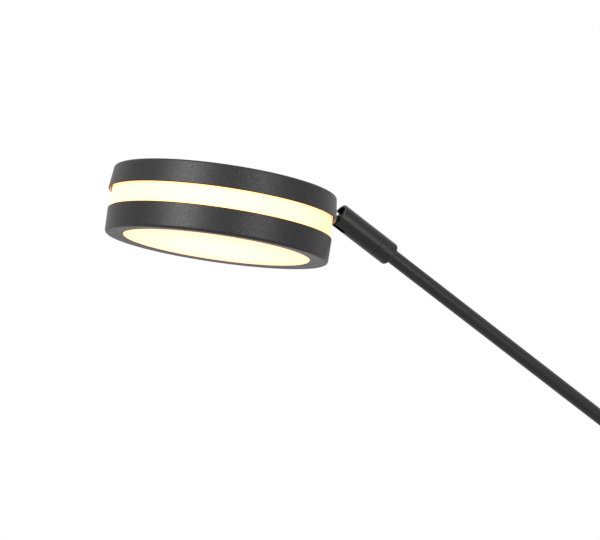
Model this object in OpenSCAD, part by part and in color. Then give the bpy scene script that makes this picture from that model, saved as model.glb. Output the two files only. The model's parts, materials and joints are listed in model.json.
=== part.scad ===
// Floor lamp: a weighted round base, a jointed pole, a tilting arm and a round head lit below and around

/* [Base] */
// Outer diameter of the base cover
base_d = 240; // [200:5:320]
// Height of the top of the base cover above the floor
base_h = 22; // [21:1:32]
// Sheet thickness of the base cover
cover_t = 1.2; // [0.8:0.1:1.6]
// Radius of the rounded top edge of the base cover
cover_edge_r = 5; // [2:0.5:5]
// Thickness of the soft pad under the base
pad_t = 2; // [1:0.5:3]
// How far the edge of the pad stays inside the base cover
pad_inset = 4; // [2:1:10]
// Thickness of the steel plate that closes the base
plate_t = 2.5; // [2.4:0.1:3.5]
// Distance of the base screws from the edge of the base
base_screw_inset = 25; // [25:1:35]
// Thread diameter of the base screws
base_screw_d = 4; // [3:0.5:5]
// Length of the base screws
base_screw_l = 12; // [8:1:14]
// Height of the countersunk head of a base screw
base_screw_head_h = 2; // [1.5:0.1:2.3]

/* [Foot switch] */
// Distance of the middle of the foot switch from the edge of the base
switch_inset = 44; // [35:1:55]
// Diameter of the push button
button_d = 22; // [18:1:26]
// Height of the button above its bezel at rest
button_proud = 5; // [4:0.5:8]
// Travel of the button
button_travel = 3; // [2:0.5:4]
// Rounding of the top edge of the button
button_edge_r = 2.5; // [1:0.5:3]
// Wall of the threaded sleeve that guides the button
sleeve_t = 3; // [2.5:0.5:4]
// Depth of the sleeve below the cover
sleeve_depth = 8.5; // [8:0.5:9.5]
// Width of the bezel flange around the sleeve
bezel_w = 3; // [2:0.5:5]
// Thickness of the bezel flange
bezel_t = 1.6; // [1:0.2:2.4]
// Height of the switch housing under the sleeve
switch_body_h = 6; // [4:0.5:7]

/* [Cord gland and driver] */
// Bore of the cord gland
gland_bore_d = 6.6; // [5:0.2:7]
// Outer diameter of the gland sleeve
gland_d = 9; // [8.6:0.2:9.6]
// Outer diameter of the gland flange
gland_flange_d = 12; // [11:0.5:13]
// Thickness of the gland flange
gland_flange_t = 2.5; // [1.5:0.5:4]
// Length of the gland inside the base
gland_depth = 11; // [9:0.5:13]
// Distance across the flats of the gland nut
gland_nut_af = 12; // [11.6:0.2:12.4]
// Thickness of the gland nut
gland_nut_t = 4; // [3:0.5:5]
// Length of the driver housing
driver_l = 72; // [60:2:74]
// Width of the driver housing
driver_w = 36; // [30:2:44]
// Height of the driver housing
driver_h = 12; // [9:1:12.5]
// Distance of the inner end of the driver from the pole axis
driver_reach = 26; // [25:1:28]

/* [Pole] */
// Height of the arm pivot above the floor
pole_pivot_z = 1080; // [900:10:1400]
// Outer diameter of the pole
pole_d = 18; // [16:0.5:22]
// Wall of the pole tubes
pole_t = 1.2; // [0.8:0.1:1.5]
// Length of the lower pole tube
lower_pole_l = 520; // [400:10:600]
// Height of the visible ring between the two pole tubes
coupler_ring_h = 3; // [2:0.5:8]
// Length of the coupler inside each tube
coupler_grip = 30; // [15:1:50]
// Bore of the coupler for the leads
coupler_bore_d = 9; // [6:0.5:10]
// Outer diameter of the collar at the foot of the pole
pole_collar_d = 34; // [28:1:50]
// Height of the collar at the foot of the pole
pole_collar_h = 9; // [6:1:20]
// Diameter of the hollow stud that holds the pole to the base
stud_d = 10; // [8:0.5:11]
// Bore of the hollow stud
stud_bore_d = 6; // [4:0.5:6.5]
// Length of the stud inside the pole
stud_grip = 24; // [15:1:28]
// Length of the threaded plug in the foot of the pole
pole_plug_l = 30; // [29:1:50]
// Height of the pocket for the nut of the stud
nut_pocket_h = 9; // [8.5:0.5:11]
// Distance across the flats of the nut of the stud
stud_nut_af = 17; // [15:0.5:19]
// Thickness of the nut of the stud
stud_nut_t = 6; // [4:0.5:6.5]
// Outer diameter of the washer of the stud
stud_washer_d = 28; // [24:1:32]
// Thickness of the washer of the stud
stud_washer_t = 1.5; // [1:0.5:2]

/* [Swivel joint on the pole] */
// Diameter of the slotted barrel on the pole
pole_joint_d = 18; // [17:0.5:22]
// Length of the slotted barrel on the pole
pole_joint_l = 36; // [34:1:50]
// Distance from the arm pivot to the top of the barrel
pole_joint_nose = 7; // [6:0.5:8]
// Radius of the round end of the arm tongue
arm_tongue_r = 3.6; // [3.2:0.1:4]
// Diameter of the arm pivot pin
arm_pin_d = 4; // [3:0.5:4.5]
// Diameter of the stud that the barrel turns on
pole_swivel_d = 9; // [8:0.5:10]
// Length of the bush in the barrel
pole_bush_l = 7; // [5:0.5:8]
// Length of the plug in the top of the pole
top_plug_l = 24; // [15:1:40]

/* [Arm] */
// Distance between the two pivots of the arm
arm_l = 480; // [380:5:700]
// Diameter of the arm tube
rod_d = 10; // [9:0.5:11]
// Wall of the arm tube
rod_t = 1; // [0.8:0.1:1.4]
// Diameter of the collars on the arm
collar_d = 16.3; // [15:0.1:17]
// Gap between the lower collar and the barrel on the pole as the arm swings
hinge_gap = 0.6; // [0.4:0.1:3]
// Length of the lower collar
lower_collar_l = 20; // [16:1:30]
// Depth of the tube socket in each collar
socket_l = 9; // [7:0.5:9.5]
// Rounding of the collars where the tube enters
collar_round = 1.8; // [1:0.1:2.2]

/* [Knuckle at the head] */
// Diameter of the slotted barrel of the knuckle
knuckle_d = 16.3; // [15:0.1:17]
// Length of the slotted barrel of the knuckle
knuckle_l = 34.4; // [31:0.2:42]
// Distance from the head pivot to the end of the barrel
knuckle_nose = 6.5; // [6:0.1:8]
// Radius of the round end of the head tongue
head_tongue_r = 3; // [2.6:0.1:3.4]
// Diameter of the head pivot pin
head_pin_d = 3; // [2:0.5:3.5]
// Diameter of the stud that the barrel turns on
knuckle_swivel_d = 8; // [7:0.2:8.6]
// Length of the bush in the barrel
knuckle_bush_l = 6; // [4.5:0.5:7]
// Length of the collar behind the seam
knuckle_collar_l = 13.3; // [12:0.1:16]
// Diameter of the counterbore in the end of the barrel
nose_bore_d = 13.2; // [10:0.1:13.6]
// Depth of the counterbore in the end of the barrel
nose_bore_depth = 3; // [1:0.1:3.4]
// Width of the lead notch in the far cheek
lead_notch_w = 3.2; // [2:0.2:3.6]
// Depth of the lead notch in the far cheek
lead_notch_depth = 2.8; // [1.5:0.1:3.2]
// Offset of the lead notch from the axis of the barrel
lead_notch_offset = 1.9; // [1:0.1:2.4]

/* [Joint hardware] */
// Thickness of both tongues
tongue_t = 4; // [3:0.2:4.6]
// Thickness of the friction washers beside a tongue
tilt_washer_t = 0.5; // [0.4:0.1:0.8]
// Wall of a barrel around its bush
barrel_wall = 2.45; // [2.2:0.05:2.6]
// Thickness of the flange of a swivel stud
flange_t = 2.4; // [1.5:0.1:2.6]
// Thickness of the spring washer under that flange
swivel_washer_t = 1; // [0.6:0.1:1.2]
// Height of the stop dog on that flange
stop_h = 1.2; // [0.8:0.1:1.4]
// Width of the stop dog
stop_w = 1.6; // [1.2:0.1:1.8]
// Rounding of the end of a barrel
barrel_edge_r = 0.6; // [0.3:0.1:0.8]
// Rounding of the two edges at the seam of a swivel
seam_edge_r = 0.2; // [0.1:0.1:0.6]
// Gap of that seam
seam_gap = 0.15; // [0.1:0.05:0.4]
// Diameter of the lead passage
lead_d = 4; // [3:0.2:4.4]

/* [Light head] */
// Outer diameter of the lower ring at its top, which the rest of the head follows
ring_d = 147.2; // [130:0.1:180]
// How far the rim of the top cap reaches out past the lower ring
cap_overhang = 1.4; // [1:0.1:2.4]
// Height of the top cap
cap_h = 14.9; // [14.6:0.1:18]
// Flare of the side of the top cap in degrees
cap_flare = 6.5; // [2:0.5:8]
// Sheet thickness of the top cap
cap_t = 1.2; // [0.8:0.1:1.5]
// Radius of the top edge of the cap
cap_edge_r = 1.6; // [1:0.1:2.5]
// Visible height of the lit band
band_gap = 12.2; // [8:0.1:16]
// How far the lit band stands back from the side of the lower ring
band_inset = 1.2; // [0.9:0.1:1.6]
// Wall of the lit band
band_t = 2.4; // [2:0.1:3]
// How far the band reaches up into the cap
band_tuck = 1.7; // [1:0.1:2]
// How far the band sits down in the lower ring
band_seat = 2; // [1:0.1:2.5]
// Height of the lower ring
ring_h = 16.6; // [15:0.1:20]
// Wall of the lower ring
ring_t = 2.4; // [2:0.1:2.8]
// Draft of the lower ring in degrees
ring_draft = 1; // [0:0.1:1.5]
// Rounding of the upper outer edge of the lower ring
ring_top_r = 0.9; // [0.4:0.1:0.9]
// Rounding of the lower outer edge of the lower ring
ring_low_r = 2; // [1:0.1:2]
// Thickness of the flange under the bottom diffuser
ring_flange_t = 2.1; // [1.6:0.1:2.5]
// Width of the lower face of the ring around its opening
ring_face_w = 12.3; // [10:0.1:16]
// Rise of that face from its outer edge to the opening
face_rise = 0.6; // [0:0.1:0.8]
// Rounding of the lip around the opening
lip_round = 0.4; // [0.2:0.1:0.7]
// How far the edge of the bottom diffuser stands out of the opening
diffuser_proud = 0.1; // [0:0.1:1]
// Rounding of the edge of the bottom diffuser
diffuser_edge_r = 0.4; // [0.2:0.1:0.8]
// How far the face of the bottom diffuser bulges out in its middle
diffuser_bulge = 1; // [0.5:0.1:2]
// Thickness of the flange of the bottom diffuser
diffuser_t = 1.8; // [1.5:0.1:2.5]
// Thickness of the shelf that carries the band and the lugs
shelf_t = 2; // [1.5:0.1:2.4]

/* [Light engine] */
// Thickness of the heat sink plate
tray_t = 2.5; // [2:0.1:2.6]
// Distance from the lit band to the drum that carries the side strip
drum_gap = 9.5; // [7:0.5:14]
// Wall of the drum
drum_t = 2.5; // [2:0.1:3]
// Distance from the drum to the lower circuit board
board_gap = 9; // [8:0.5:16]
// Thickness of the lower circuit board
board_t = 1.6; // [1:0.1:2]
// Width of the side strip
strip_w = 8; // [5:0.5:10]
// Thickness of the side strip
strip_t = 0.4; // [0.2:0.1:0.6]
// Number of light sources on the side strip
side_led_count = 40; // [24:1:60]
// Width of a light source
led_w = 3.5; // [2.5:0.1:4]
// Length of a light source
led_l = 2.8; // [2:0.1:3.2]
// Height of a light source
led_h = 0.7; // [0.5:0.1:1]
// Wall of the reflector cone
reflector_t = 1.2; // [0.8:0.1:1.6]
// Thread diameter of the screws in the head
head_screw_d = 3; // [2.5:0.1:3]
// Diameter of the heads of those screws
head_screw_head_d = 5.5; // [5:0.1:5.6]
// Height of the heads of those screws
head_screw_head_h = 1.8; // [1.4:0.1:2]

/* [Head tongue] */
// Distance from the side of the lower ring to the pivot of the head
pivot_out = 17.8; // [15:0.2:36]
// Height of the pivot above the lower face of the head
head_pivot_h = 36.7; // [36.5:0.1:37.4]
// Height of the neck of the tongue above the pivot
neck_up = 1.7; // [1:0.1:2.4]
// Length of the foot of the tongue
foot_l = 16; // [12:1:20]
// Width of the foot of the tongue
foot_w = 28; // [24:1:32]
// Thickness of the foot of the tongue
foot_t = 2.4; // [2:0.1:2.6]
// Distance from the rim of the heat sink to the foot
foot_set_back = 12; // [9:1:16]

/* [Fits] */
// Clearance of pressed and screwed fits, per side
fit_clear = 0.02; // [0.01:0.01:0.04]
// Running clearance of pins and studs, per side
run_clear = 0.05; // [0.02:0.01:0.08]
// Clearance of holes that a screw or stud passes through, per side
pass_clear = 0.3; // [0.2:0.05:0.4]
// Gap between flat faces that turn on each other
face_clear = 0.05; // [0.03:0.01:0.08]
// Gap between parts that move past each other
move_gap = 0.3; // [0.2:0.05:0.4]
// Gap between parts that rest on each other
seat_gap = 0.1; // [0.05:0.05:0.2]

/* [Pose] */
// Slope of the arm above the horizontal in degrees
arm_elev = 32.8; // [5:0.1:75]
// Tilt of the head towards the pole in degrees
head_tilt = 8.9; // [-30:0.1:80]

/* [Hidden] */
$fn = 96;
arc_steps = 6;
cut = 1;
coat = [0.13, 0.13, 0.135];
steel = [0.72, 0.73, 0.75];
alloy = [0.82, 0.83, 0.85];
iron = [0.32, 0.32, 0.33];
black = [0.07, 0.07, 0.075];
white = [0.94, 0.94, 0.92];
opal = [1, 0.96, 0.82];
amber = [1, 0.85, 0.35];
brass = [0.8, 0.66, 0.36];

// Heights in the base
base_r = base_d/2;
z_plate = pad_t;
z_weight = z_plate + plate_t;
z_under = base_h - cover_t;
z_weight_top = z_under - seat_gap;
inner_r = base_r - cover_t;
weight_gap = 1;
weight_r = inner_r - weight_gap;
screw_head_r = base_screw_d/2 + base_screw_head_h;
base_screw_r = base_r - base_screw_inset;
base_screw_count = 4;
base_screw_turn = 45;
z_pocket = z_weight + nut_pocket_h;
stud_inset = 0.5;
nut_room = 2;
driver_gap = 0.6;

// Foot switch
switch_reach = base_r - switch_inset;
sleeve_d = button_d + 2*run_clear + 2*sleeve_t;
bezel_d = sleeve_d + 2*bezel_w;
z_bezel = base_h + bezel_t;
z_sleeve = z_under - sleeve_depth;
button_lip = 1.5;
button_lip_h = 1.5;
lip_room = 2*move_gap + button_travel + button_lip_h;
z_lip_roof = z_sleeve + lip_room;
switch_nut_w = 4;
switch_nut_t = 3;
switch_well_d = sleeve_d + 2*switch_nut_w + 2*nut_room;

// Gland
gland_nut_r = gland_nut_af/2/cos(30);
z_gland = z_weight + 2*seat_gap + gland_nut_r;
channel_w = gland_nut_af + 2*nut_room;
channel_top = z_gland + gland_nut_r + 2*seat_gap;
driver_end = driver_reach + driver_l;

// Pole
pole_bore = pole_d - 2*pole_t;
plug_d = pole_bore - 2*fit_clear;
z_split = base_h + lower_pole_l;
z_upper = z_split + coupler_ring_h;
z_pole_top = pole_pivot_z + pole_joint_nose - pole_joint_l - seam_gap;
collar_gap = 0.2;
pole_collar_edge = 3;

// Hinges and swivels
slot_w = tongue_t + 2*tilt_washer_t + 4*face_clear;
washer_margin = 0.2;
pin_cover = 1.6;
pin_recess = 0.7;
flange_gap = 0.4;
stop_reach = 2;
stop_room = 0.6;
function bush_d(d) = d - 2*barrel_wall;
function flange_r(d) = bush_d(d)/2 - flange_gap;
function flange_z(bush_l) = bush_l + swivel_washer_t + face_clear;
function cavity_l(bush_l) = flange_z(bush_l) + flange_t + stop_h + stop_room;

// Arm
socket_r = rod_d/2 + fit_clear;
arm_tongue_l = norm([pole_joint_d/2, pole_joint_nose]) + hinge_gap;
lower_socket = arm_tongue_l + lower_collar_l - socket_l;
knuckle_seat = arm_l + knuckle_nose - knuckle_l;
knuckle_face = knuckle_seat - seam_gap;
knuckle_end = knuckle_face - knuckle_collar_l;
head_pivot = [-arm_l*cos(arm_elev), 0, pole_pivot_z + arm_l*sin(arm_elev)];

// Head, heights above its lower face
z_rim = ring_h + band_gap;
z_cap = z_rim + cap_h;
ring_r = ring_d/2;
cap_rim_d = ring_d + 2*cap_overhang;
band_d = ring_d - 2*band_inset;
opening_d = ring_d - 2*ring_face_w;
head_reach = ring_r + pivot_out;
lip_gap = 0.15;
lip_r = band_d/2 + lip_gap;
band_in = band_d/2 - band_t;
z_shoulder = ring_h - band_seat;
z_shelf = z_shoulder - shelf_t;
ring_in = ring_r - ring_t - ring_h*tan(ring_draft);
z_band = z_shoulder + seat_gap;
z_band_top = z_rim + band_tuck;
z_tray = z_band_top + seat_gap;
z_tray_top = z_tray + tray_t;
lug_step = 0.2;
z_lug = z_shelf + lug_step;
z_lug_top = z_shoulder - lug_step;
z_drum = z_lug_top + seat_gap;
z_boss = z_drum + lug_step;
drum_r = band_in - drum_gap;
drum_in = drum_r - drum_t;
board_r = drum_in - board_gap;
boss_r = head_screw_d/2 + 2.2;
ring_screw_r = drum_in - boss_r/2;
ring_screw_turn = 90;
cap_screw_r = (drum_in + board_r)/2;
cap_screw_turn = 30;
head_screw_count = 3;
cap_boss_r = head_screw_d/2 + 1.6;
lug_w = 12;
lug_in = ring_screw_r - boss_r;
thread_l = 7;
z_diffuser = ring_flange_t + seat_gap;
z_diffuser_top = z_diffuser + diffuser_t;
diffuser_r = ring_in - move_gap;
step_r = opening_d/2 - seat_gap;
bulge_in = step_r - diffuser_edge_r;
bulge_turn = 2*atan(diffuser_bulge/bulge_in);
bulge_r = bulge_in/sin(bulge_turn) + diffuser_edge_r;
z_bulge_edge = face_rise - diffuser_proud;
z_reflector = z_diffuser_top + seat_gap;
z_reflector_top = z_lug - head_screw_head_h - 2*seat_gap;
reflector_low_r = opening_d/2 + 1;
reflector_top_r = ring_screw_r + head_screw_head_d/2 + 1;
z_board = z_tray - seat_gap - board_t;
z_led = z_board - seat_gap - led_h;
led_circles = [[6, 0.28], [12, 0.56], [18, 0.84]];
strip_r = drum_r + seat_gap;
z_strip = (z_rim + ring_h)/2 - strip_w/2;
z_foot = z_tray_top + seat_gap;
foot_end = band_d/2 - foot_set_back;
foot_screw_y = foot_w/2 - head_screw_head_d/2 - 1.5;
cap_tan = tan(cap_flare);
lead_hole_d = 5;

// Points along an arc, angles in degrees
function arc(x, y, r, a0, a1) = [
    for (i = [0:arc_steps])
        let (a = a0 + (a1 - a0)*i/arc_steps)
        [x + r*cos(a), y + r*sin(a)]
];

// The same arc without its first point, to go on from another one
function arc_on(x, y, r, a0, a1) = [
    for (i = [1:arc_steps])
        arc(x, y, r, a0, a1)[i]
];

// Half section of a ring or bar whose two outer edges are rounded by f0 below and f1 above
function bar_outline(r0, r1, z0, z1, f0, f1) = concat(
    [[r0, z0]],
    arc(r1 - f0, z0 + f0, f0, -90, 0),
    arc(r1 - f1, z1 - f1, f1, 0, 90),
    [[r0, z1]]
);

module turned(outline) {
    rotate_extrude()
        polygon(outline);
}

module tube(d, bore, z0, z1) {
    difference() {
        translate([0, 0, z0])
            cylinder(d = d, h = z1 - z0);
        translate([0, 0, z0 - cut])
            cylinder(d = bore, h = z1 - z0 + 2*cut);
    }
}

module hole(d, z0, z1) {
    translate([0, 0, z0])
        cylinder(d = d, h = z1 - z0);
}

module around(count, r, turn) {
    for (i = [0:count - 1])
        rotate(turn + i*360/count)
            translate([r, 0, 0])
                children();
}

// Round bar along Y from y0 to y1
module cross_bar(d, y0, y1) {
    translate([0, y1, 0])
        rotate([90, 0, 0])
            cylinder(d = d, h = y1 - y0);
}

// Plate of the tongue thickness whose outline lies in the XZ plane
module cross_plate(t) {
    rotate([90, 0, 0])
        linear_extrude(t, center = true)
            children();
}

module pan_screw(l) {
    hole(head_screw_d, -l, 0);
    turned(bar_outline(0, head_screw_head_d/2, 0, head_screw_head_h, 0.2, head_screw_head_h/2));
}

// Frames: the arm has its origin at the pole pivot and +Z towards the head, the head stands on its lower face
module at_pole() {
    translate([0, 0, pole_pivot_z])
        children();
}

module at_arm() {
    at_pole()
        rotate([0, arm_elev - 90, 0])
            children();
}

module at_knuckle() {
    at_arm()
        translate([0, 0, arm_l])
            children();
}

module at_head() {
    translate(head_pivot)
        rotate([0, head_tilt, 0])
            translate([-head_reach, 0, -head_pivot_h])
                children();
}

module at_switch() {
    translate([0, -switch_reach, 0])
        children();
}

module at_gland() {
    translate([base_r, 0, z_gland])
        rotate([0, 90, 0])
            children();
}

// Slotted barrel that turns on a flanged stud: hinge at the origin, slot towards +Z and -X, stop key behind the
// flange; slot_back is how far the slot reaches towards +X
module fork_barrel(d, l, nose, tongue_r, pin_d, bush_l, slot_back) {
    floor_z = -tongue_r - move_gap;
    seat_z = nose - l;
    roof_z = seat_z + cavity_l(bush_l);
    key_r = flange_r(d) - stop_reach;
    difference() {
        turned(bar_outline(0, d/2, seat_z, nose, seam_edge_r, barrel_edge_r));
        translate([-d/2 - cut, -slot_w/2, floor_z])
            cube([d/2 + cut + slot_back, slot_w, nose - floor_z + cut]);
        cross_bar(pin_d + 2*fit_clear, pin_cover - d/2, d/2 + cut);
        difference() {
            hole(bush_d(d), seat_z - cut, roof_z);
            translate([-d/2, -stop_w/2, roof_z - stop_h])
                cube([d/2 - key_r, stop_w, stop_h + cut]);
        }
        hole(lead_d, roof_z - cut, floor_z + cut);
    }
}

// Hollow stud whose flange holds a barrel: its seat reaches down by seat_l below the seam face
module swivel_stud(d, stud_dia, bush_l, seat_l) {
    flange_low = flange_z(bush_l);
    flange_top = flange_low + flange_t;
    difference() {
        union() {
            hole(stud_dia, -seam_gap - seat_l, flange_low + cut/2);
            hole(2*flange_r(d), flange_low, flange_top);
            translate([flange_r(d) - stop_reach, -stop_w/2, flange_top - cut/2])
                cube([stop_reach - washer_margin, stop_w, stop_h + cut/2]);
        }
        hole(lead_d, -seam_gap - seat_l - cut, flange_top + stop_h + cut);
    }
}

module swivel_bush(d, stud_dia, bush_l) {
    tube(bush_d(d) - 2*fit_clear, stud_dia + 2*run_clear, 0, bush_l);
}

module spring_washer(d, stud_dia, bush_l) {
    tube(2*flange_r(d), stud_dia + 2*pass_clear, bush_l, bush_l + swivel_washer_t);
}

module hinge_pin(d, barrel_d) {
    cross_bar(d, pin_cover + seat_gap - barrel_d/2, barrel_d/2 - pin_recess);
}

module tilt_washers(tongue_r, pin_d) {
    for (side = [-1, 1])
        translate([0, side*(tongue_t/2 + face_clear + tilt_washer_t/2), 0])
            rotate([90, 0, 0])
                translate([0, 0, -tilt_washer_t/2])
                    tube(2*(tongue_r - washer_margin), pin_d + 2*run_clear, 0, tilt_washer_t);
}

module base_pad() {
    color(black)
        cylinder(r = base_r - pad_inset, h = pad_t);
}

module base_plate() {
    color(steel)
        difference() {
            hole(2*(inner_r - move_gap), z_plate, z_weight);
            around(base_screw_count, base_screw_r, base_screw_turn) {
                hole(base_screw_d + 2*pass_clear, z_plate - cut, z_weight + cut);
                translate([0, 0, z_plate])
                    cylinder(r1 = screw_head_r + run_clear, r2 = base_screw_d/2 + run_clear,
                        h = base_screw_head_h);
            }
        }
}

module base_screws() {
    color(steel)
        around(base_screw_count, base_screw_r, base_screw_turn) {
            translate([0, 0, z_plate])
                cylinder(r1 = screw_head_r, r2 = base_screw_d/2, h = base_screw_head_h);
            hole(base_screw_d, z_plate + base_screw_head_h/2, z_plate + base_screw_l);
        }
}

module base_weight() {
    color(iron)
        difference() {
            turned(bar_outline(0, weight_r, z_weight, z_weight_top, cut, cover_edge_r));
            hole(stud_d + 2*pass_clear, z_weight - cut, base_h);
            hole(stud_washer_d + 2*nut_room, z_weight - cut, z_pocket);
            at_switch()
                hole(switch_well_d, z_weight - cut, base_h);
            translate([driver_reach - driver_gap, -driver_w/2 - driver_gap, z_weight - cut])
                cube([driver_l + 2*driver_gap, driver_w + 2*driver_gap, driver_h + cut + driver_gap]);
            translate([driver_end, -channel_w/2, z_weight - cut])
                cube([base_r - driver_end, channel_w, channel_top - z_weight + cut]);
            around(base_screw_count, base_screw_r, base_screw_turn)
                hole(base_screw_d + 2*fit_clear, z_weight - cut, z_plate + base_screw_l + seat_gap);
        }
}

module base_cover() {
    color(coat)
        difference() {
            turned(bar_outline(0, base_r, z_plate, base_h, 0, cover_edge_r));
            turned(bar_outline(0, inner_r, z_plate - cut, z_under, 0, cover_edge_r - cover_t));
            hole(stud_d + 2*pass_clear, z_under - cut, base_h + cut);
            at_switch()
                hole(sleeve_d + 2*pass_clear, z_under - cut, base_h + cut);
            at_gland()
                hole(gland_d + 2*pass_clear, -2*cover_t - cut, cut);
        }
}

module cord_gland() {
    color(black)
        at_gland()
            difference() {
                union() {
                    hole(gland_d, -gland_depth, seat_gap + cut);
                    translate([0, 0, seat_gap])
                        turned(bar_outline(0, gland_flange_d/2, 0, gland_flange_t, 0, gland_flange_t/2));
                }
                hole(gland_bore_d, -gland_depth - cut, seat_gap + gland_flange_t + cut);
            }
}

// The back of the nut stays clear of the round wall of the cover
module gland_nut() {
    wall_sag = gland_nut_r*gland_nut_r/inner_r;
    nut_face = -cover_t - wall_sag;
    color(black)
        at_gland()
            difference() {
                translate([0, 0, nut_face - gland_nut_t])
                    cylinder(r = gland_nut_r, h = gland_nut_t, $fn = 6);
                hole(gland_d + 2*fit_clear, nut_face - gland_nut_t - cut, nut_face + cut);
            }
}

module led_driver() {
    ear = 6;
    ear_t = 2;
    color(black)
        translate([driver_reach, -driver_w/2, z_weight + seat_gap]) {
            translate([ear, 0, 0])
                cube([driver_l - 2*ear, driver_w, driver_h - seat_gap]);
            cube([driver_l, driver_w, ear_t]);
        }
}

module switch_bezel() {
    color(black)
        at_switch()
            difference() {
                union() {
                    hole(sleeve_d, z_sleeve, base_h + cut/2);
                    translate([0, 0, base_h + seat_gap])
                        turned(bar_outline(0, bezel_d/2, 0, bezel_t - seat_gap, 0, bezel_t/2));
                }
                hole(button_d + 2*run_clear, z_sleeve - cut, z_bezel + cut);
                hole(button_d + 2*button_lip + 2*move_gap, z_sleeve - cut, z_lip_roof);
            }
}

module switch_nut() {
    color(black)
        at_switch()
            tube(sleeve_d + 2*switch_nut_w, sleeve_d + 2*fit_clear,
                z_under - seat_gap - switch_nut_t, z_under - seat_gap);
}

module switch_body() {
    color(white)
        at_switch()
            turned(bar_outline(0, sleeve_d/2, z_sleeve - seat_gap - switch_body_h, z_sleeve - seat_gap,
                cut/2, 0));
}

module switch_button() {
    lip_top = z_lip_roof - move_gap;
    color(black)
        at_switch() {
            turned(bar_outline(0, button_d/2, lip_top - button_lip_h, z_bezel + button_proud,
                0, button_edge_r));
            hole(button_d + 2*button_lip, lip_top - button_lip_h, lip_top);
        }
}

module pole_stud() {
    color(steel)
        tube(stud_d, stud_bore_d, z_weight + stud_inset, base_h + stud_grip);
}

module stud_nut() {
    nut_top = z_pocket - seat_gap - stud_washer_t;
    color(steel)
        difference() {
            translate([0, 0, nut_top - stud_nut_t])
                cylinder(d = stud_nut_af/cos(30), h = stud_nut_t, $fn = 6);
            hole(stud_d + 2*fit_clear, nut_top - stud_nut_t - cut, nut_top + cut);
        }
}

module stud_washer() {
    color(steel)
        tube(stud_washer_d, stud_d + 2*pass_clear, z_pocket - seat_gap - stud_washer_t, z_pocket - seat_gap);
}

module pole_plug() {
    color(brass)
        tube(plug_d, stud_d + 2*fit_clear, base_h + seat_gap, base_h + pole_plug_l);
}

module pole_collar() {
    color(coat)
        turned(bar_outline(pole_d/2 + collar_gap, pole_collar_d/2, base_h + seat_gap, base_h + pole_collar_h,
            0, pole_collar_edge));
}

module lower_pole() {
    color(coat)
        tube(pole_d, pole_bore, base_h + seat_gap, z_split - seat_gap);
}

module pole_coupler() {
    color(coat)
        difference() {
            union() {
                hole(pole_d, z_split, z_upper);
                hole(plug_d, z_split - coupler_grip, z_upper + coupler_grip);
            }
            hole(coupler_bore_d, z_split - coupler_grip - cut, z_upper + coupler_grip + cut);
        }
}

module upper_pole() {
    color(coat)
        tube(pole_d, pole_bore, z_upper + seat_gap, z_pole_top);
}

module top_plug() {
    color(brass)
        tube(plug_d, pole_swivel_d + 2*fit_clear, z_pole_top - top_plug_l, z_pole_top);
}

module pole_seam() {
    at_pole()
        translate([0, 0, pole_joint_nose - pole_joint_l])
            children();
}

module pole_swivel_stud() {
    color(steel)
        pole_seam()
            swivel_stud(pole_joint_d, pole_swivel_d, pole_bush_l, top_plug_l);
}

module pole_barrel() {
    color(coat)
        at_pole()
            fork_barrel(pole_joint_d, pole_joint_l, pole_joint_nose, arm_tongue_r, arm_pin_d, pole_bush_l,
                pole_joint_d);
}

module pole_bush() {
    color(brass)
        pole_seam()
            swivel_bush(pole_joint_d, pole_swivel_d, pole_bush_l);
}

module pole_spring_washer() {
    color(steel)
        pole_seam()
            spring_washer(pole_joint_d, pole_swivel_d, pole_bush_l);
}

module arm_pin() {
    color(steel)
        at_pole()
            hinge_pin(arm_pin_d, pole_joint_d);
}

module arm_washers() {
    color(white)
        at_pole()
            tilt_washers(arm_tongue_r, arm_pin_d);
}

module arm_tongue() {
    color(coat)
        at_arm()
            difference() {
                union() {
                    cross_plate(tongue_t) {
                        circle(r = arm_tongue_r);
                        translate([-arm_tongue_r, 0])
                            square([2*arm_tongue_r, arm_tongue_l + cut]);
                    }
                    turned(bar_outline(0, collar_d/2, arm_tongue_l, arm_tongue_l + lower_collar_l,
                        barrel_edge_r, collar_round));
                }
                cross_bar(arm_pin_d + 2*run_clear, -tongue_t, tongue_t);
                hole(2*socket_r, lower_socket, arm_tongue_l + lower_collar_l + cut);
                translate([0, tongue_t/2 + lead_d/4 + cut/2, 0])
                    hole(lead_d/2, arm_tongue_l - cut, lower_socket + cut);
            }
}

module arm_rod() {
    color(coat)
        at_arm()
            tube(rod_d, rod_d - 2*rod_t, lower_socket + seat_gap, knuckle_end + socket_l - seat_gap);
}

module knuckle_collar() {
    color(coat)
        at_arm()
            difference() {
                turned(bar_outline(0, collar_d/2, knuckle_end, knuckle_face, collar_round, seam_edge_r));
                hole(2*socket_r, knuckle_end - cut, knuckle_end + socket_l);
                hole(knuckle_swivel_d + 2*fit_clear, knuckle_end, knuckle_face + cut);
            }
}

module knuckle_seam() {
    at_arm()
        translate([0, 0, knuckle_seat])
            children();
}

module knuckle_stud() {
    color(steel)
        knuckle_seam()
            swivel_stud(knuckle_d, knuckle_swivel_d, knuckle_bush_l, knuckle_collar_l - socket_l);
}

module knuckle_barrel() {
    color(coat)
        at_knuckle()
            difference() {
                fork_barrel(knuckle_d, knuckle_l, knuckle_nose, head_tongue_r, head_pin_d, knuckle_bush_l,
                    head_tongue_r + move_gap);
                hole(nose_bore_d, knuckle_nose - nose_bore_depth, knuckle_nose + cut);
                translate([lead_notch_offset - lead_notch_w/2, 0, knuckle_nose - lead_notch_depth])
                    cube([lead_notch_w, knuckle_d, lead_notch_depth + cut]);
            }
}

module knuckle_bush() {
    color(brass)
        knuckle_seam()
            swivel_bush(knuckle_d, knuckle_swivel_d, knuckle_bush_l);
}

module knuckle_spring_washer() {
    color(steel)
        knuckle_seam()
            spring_washer(knuckle_d, knuckle_swivel_d, knuckle_bush_l);
}

module head_pin() {
    color(steel)
        at_knuckle()
            hinge_pin(head_pin_d, knuckle_d);
}

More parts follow.
